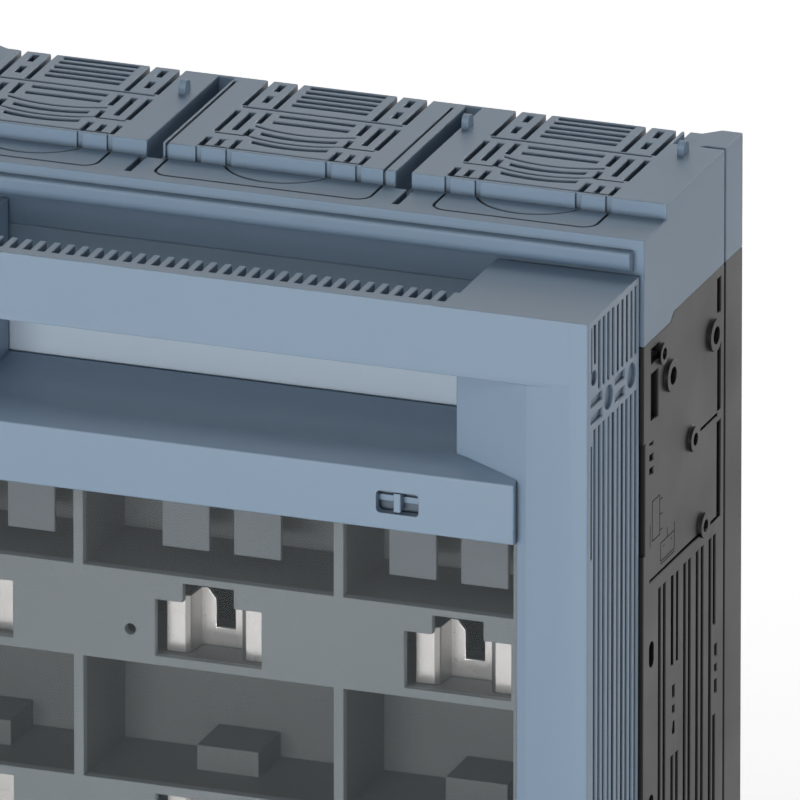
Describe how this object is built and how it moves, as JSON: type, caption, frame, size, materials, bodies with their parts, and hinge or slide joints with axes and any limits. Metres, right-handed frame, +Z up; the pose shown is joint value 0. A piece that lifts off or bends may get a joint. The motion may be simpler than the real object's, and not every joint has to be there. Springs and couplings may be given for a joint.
{
  "type": "fuse switch disconnector",
  "caption": "Empty fuse switch disconnector with a swing-open handle cover, clear window, fuse carrier, vented terminal shrouds and a black moulded base.",
  "frame": {"origin": "centre of the bounding box in plan, on the plane under the lower terminal shroud", "axes": "+Z up toward the grip end, -Y out of the handle cover toward the user, +X to the user's right, the side of the latch"},
  "size_m": [0.2528, 0.135, 0.3334],
  "materials": {
    "cover_plastic": "blue-grey fine-grained moulding",
    "shroud_plastic": "blue-grey fine-grained moulding",
    "base_plastic": "black glass-filled moulding",
    "plate_plastic": "light grey moulding",
    "carrier_plastic": "mid grey moulding",
    "window_plastic": "lightly smoked clear plastic",
    "chute_plastic": "dark arc-resistant moulding",
    "contact_metal": "silver-plated copper",
    "spring_metal": "spring steel",
    "screw_metal": "zinc-plated steel",
    "insert_metal": "turned brass"
  },
  "bodies": {
    "housing": {"base_housing": "base_plastic", "rear_frame": "base_plastic", "upper_terminal_shroud": "shroud_plastic", "lower_terminal_shroud": "shroud_plastic", "upper_rear_cover": "shroud_plastic", "lower_rear_cover": "shroud_plastic", "upper_contact_plate": "plate_plastic", "lower_contact_plate": "plate_plastic", "contact_bar_screws": "screw_metal", "rear_frame_screws": "screw_metal", "terminal_bolts": "screw_metal", "terminal_washers": "screw_metal", "fixing_inserts": "insert_metal", "hinge_bracket_left": "base_plastic", "hinge_bracket_right": "base_plastic", "latch_keeper": "base_plastic", "upper_contact_jaw_left": "contact_metal", "lower_contact_jaw_left": "contact_metal", "upper_contact_jaw_middle": "contact_metal", "lower_contact_jaw_middle": "contact_metal", "upper_contact_jaw_right": "contact_metal", "lower_contact_jaw_right": "contact_metal", "upper_jaw_springs_left": "spring_metal", "lower_jaw_springs_left": "spring_metal", "upper_jaw_springs_middle": "spring_metal", "lower_jaw_springs_middle": "spring_metal", "upper_jaw_springs_right": "spring_metal", "lower_jaw_springs_right": "spring_metal", "upper_terminal_bar_left": "contact_metal", "lower_terminal_bar_left": "contact_metal", "upper_terminal_bar_middle": "contact_metal", "lower_terminal_bar_middle": "contact_metal", "upper_terminal_bar_right": "contact_metal", "lower_terminal_bar_right": "contact_metal", "upper_arc_chute_left": "chute_plastic", "lower_arc_chute_left": "chute_plastic", "upper_arc_chute_middle": "chute_plastic", "lower_arc_chute_middle": "chute_plastic", "upper_arc_chute_right": "chute_plastic", "lower_arc_chute_right": "chute_plastic"},
    "fuse_cover": {"handle_cover": "cover_plastic", "inspection_window": "window_plastic", "fuse_carrier": "carrier_plastic", "carrier_screws": "screw_metal", "hinge_pins": "screw_metal", "upper_fuse_clip_left": "contact_metal", "lower_fuse_clip_left": "contact_metal", "upper_fuse_clip_middle": "contact_metal", "lower_fuse_clip_middle": "contact_metal", "upper_fuse_clip_right": "contact_metal", "lower_fuse_clip_right": "contact_metal", "upper_blade_shield_left": "plate_plastic", "lower_blade_shield_left": "plate_plastic", "upper_blade_shield_middle": "plate_plastic", "lower_blade_shield_middle": "plate_plastic", "upper_blade_shield_right": "plate_plastic", "lower_blade_shield_right": "plate_plastic"},
    "latch": {"latch_slider": "cover_plastic"}
  },
  "joints": [
    {"name": "cover_hinge", "type": "hinge", "parent": "housing", "child": "fuse_cover", "pos_m": [0, -0.0295, 0.0236], "axis": [1, 0, 0], "range_deg": [0, 90]},
    {"name": "latch_slide", "type": "slide", "parent": "fuse_cover", "child": "latch", "axis": [-1, 0, 0], "range_m": [0, 0.004]}
  ]
}
